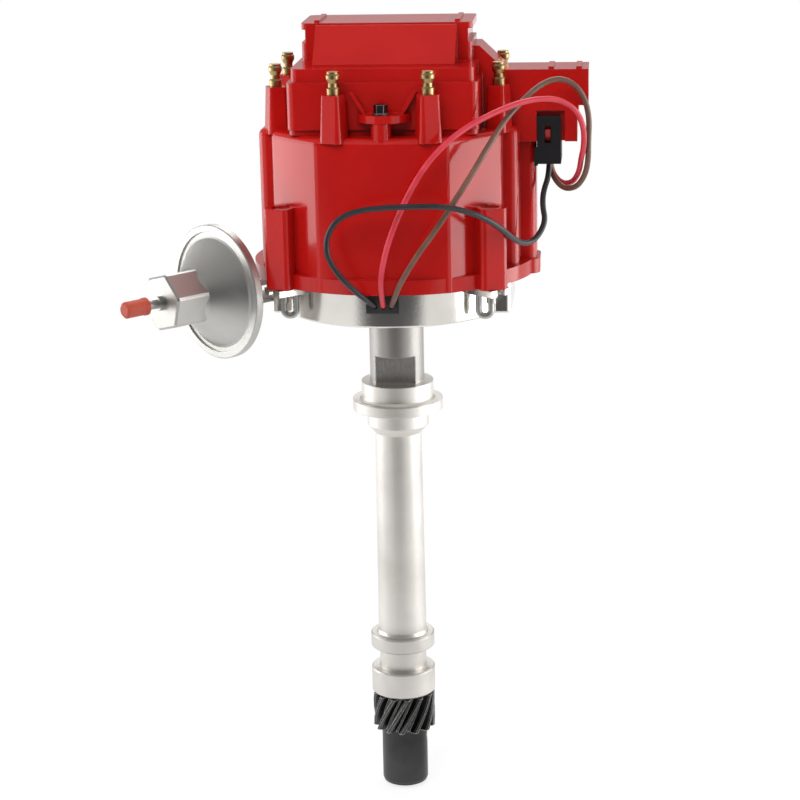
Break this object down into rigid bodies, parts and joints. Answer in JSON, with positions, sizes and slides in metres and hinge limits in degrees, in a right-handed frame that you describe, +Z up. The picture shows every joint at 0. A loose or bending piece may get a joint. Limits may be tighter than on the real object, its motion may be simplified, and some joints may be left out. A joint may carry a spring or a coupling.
{
  "type": "ignition distributor",
  "caption": "Ignition distributor with a red octagonal cap and coil cover, aluminium bowl and long stem, helical drive gear and vacuum advance can",
  "frame": {"origin": "on the shaft's axis, in the plane of the flange's underside, which rests on the manifold", "axes": "+Z runs up the shaft from the gear to the coil cover, -Y faces the cap's front where the leads come out, +X points to the terminal hood"},
  "size_m": [0.2172, 0.135, 0.392],
  "materials": {
    "cap_red": "glossy moulded red plastic",
    "aluminium": "satin machined and cast aluminium",
    "brass": "dull brass",
    "black_steel": "black oxide steel, bright on the tooth edges",
    "steel": "bare machined steel",
    "zinc": "satin zinc plated pressed steel",
    "black_plastic": "matt black moulded plastic",
    "black_rubber": "black rubber",
    "red_rubber": "orange red rubber",
    "lead_red": "red insulation",
    "lead_brown": "brown insulation",
    "lead_black": "black insulation",
    "bronze": "sintered bronze",
    "winding": "potted winding, black",
    "core_steel": "laminated electrical steel",
    "carbon": "pressed carbon",
    "magnet": "ferrite"
  },
  "bodies": {
    "body": {"housing": "aluminium", "upper_bushing": "bronze", "lower_bushing": "bronze", "pickup_retainer": "steel", "tower_terminals": "brass", "cap": "cap_red", "brush_spring": "steel", "brush_seal": "black_rubber", "coil_core": "core_steel", "coil_winding": "winding", "coil_screws": "zinc", "coil_blades": "brass", "coil_terminal_block": "black_plastic", "coil_cover": "cap_red", "cover_screws": "black_steel", "harness_connector": "black_plastic", "lead_red": "lead_red", "lead_brown": "lead_brown", "lead_black": "lead_black", "harness_grommet": "black_rubber", "latch_springs": "steel", "vacuum_front": "zinc", "vacuum_nipple": "zinc", "vacuum_back": "zinc", "vacuum_diaphragm": "black_rubber", "vacuum_spring": "steel", "vacuum_bracket": "zinc", "bracket_screws": "zinc", "ignition_module": "black_plastic", "module_screws": "zinc", "capacitor": "zinc", "capacitor_clip": "zinc", "clip_screw": "zinc"},
    "shaft": {"main_shaft": "steel", "thrust_washer": "steel", "drive_gear": "black_steel", "gear_pin": "steel", "advance_cam": "steel"},
    "advance": {"timer_core": "steel", "weight_base": "zinc", "rotor": "black_plastic", "rotor_contact": "brass", "rotor_screws": "zinc", "advance_springs": "steel"},
    "weight_1": {"advance_weight_1": "steel"},
    "weight_2": {"advance_weight_2": "steel"},
    "pickup": {"pickup_plate": "zinc", "ring_magnet": "magnet", "pickup_coil": "black_plastic", "pole_piece": "zinc"},
    "link": {"vacuum_link": "steel"},
    "latch_1": {"cap_latch_1": "zinc"},
    "latch_2": {"cap_latch_2": "zinc"},
    "latch_3": {"cap_latch_3": "zinc"},
    "latch_4": {"cap_latch_4": "zinc"},
    "brush": {"centre_brush": "carbon"},
    "nipple_plug": {"nipple_cap": "red_rubber"}
  },
  "joints": [
    {"name": "shaft_spin", "type": "hinge", "parent": "body", "child": "shaft", "pos_m": [0, 0, 0], "axis": [0, 0, -1], "continuous": true},
    {"name": "centrifugal_advance", "type": "hinge", "parent": "shaft", "child": "advance", "pos_m": [0, 0, 0.078], "axis": [0, 0, -1], "range_deg": [0, 10], "stiffness_Nm_per_rad": 0.3, "deforming": ["advance_springs"]},
    {"name": "weight_1_swing", "type": "hinge", "parent": "advance", "child": "weight_1", "pos_m": [0.01465, 0.01689, 0.0826], "axis": [0, 0, 1], "range_deg": [0, 18]},
    {"name": "weight_2_swing", "type": "hinge", "parent": "advance", "child": "weight_2", "pos_m": [-0.01465, -0.01689, 0.0826], "axis": [0, 0, 1], "range_deg": [0, 18]},
    {"name": "vacuum_advance", "type": "hinge", "parent": "body", "child": "pickup", "pos_m": [0, 0, 0.062], "axis": [0, 0, 1], "range_deg": [0, 8], "stiffness_Nm_per_rad": 0.3},
    {"name": "vacuum_pull", "type": "slide", "parent": "body", "child": "link", "axis": [-0.6756, -0.7373, 0], "range_m": [0, 0.00546], "deforming": ["vacuum_spring"]},
    {"name": "brush_slide", "type": "slide", "parent": "body", "child": "brush", "axis": [0, 0, 1], "range_m": [0, 0.002], "stiffness_N_per_m": 150, "deforming": ["brush_spring"]},
    {"name": "nipple_cap_pull", "type": "slide", "parent": "body", "child": "nipple_plug", "axis": [-0.6756, -0.7373, 0], "range_m": [0, 0.013]},
    {"name": "latch_1_turn", "type": "hinge", "parent": "body", "child": "latch_1", "pos_m": [-0.049, -0.0423, 0.09], "axis": [0, 0, -1], "range_deg": [0, 139]},
    {"name": "latch_2_turn", "type": "hinge", "parent": "body", "child": "latch_2", "pos_m": [-0.049, 0.0423, 0.09], "axis": [0, 0, 1], "range_deg": [0, 139]},
    {"name": "latch_3_turn", "type": "hinge", "parent": "body", "child": "latch_3", "pos_m": [0.049, -0.0423, 0.09], "axis": [0, 0, 1], "range_deg": [0, 139]},
    {"name": "latch_4_turn", "type": "hinge", "parent": "body", "child": "latch_4", "pos_m": [0.049, 0.0423, 0.09], "axis": [0, 0, -1], "range_deg": [0, 139]}
  ],
  "couplings": [
    {"joint": "weight_1_swing", "follows": "centrifugal_advance", "ratio": 1.8},
    {"joint": "weight_2_swing", "follows": "centrifugal_advance", "ratio": 1.8},
    {"joint": "vacuum_pull", "follows": "vacuum_advance", "m_per_rad": 0.039}
  ]
}
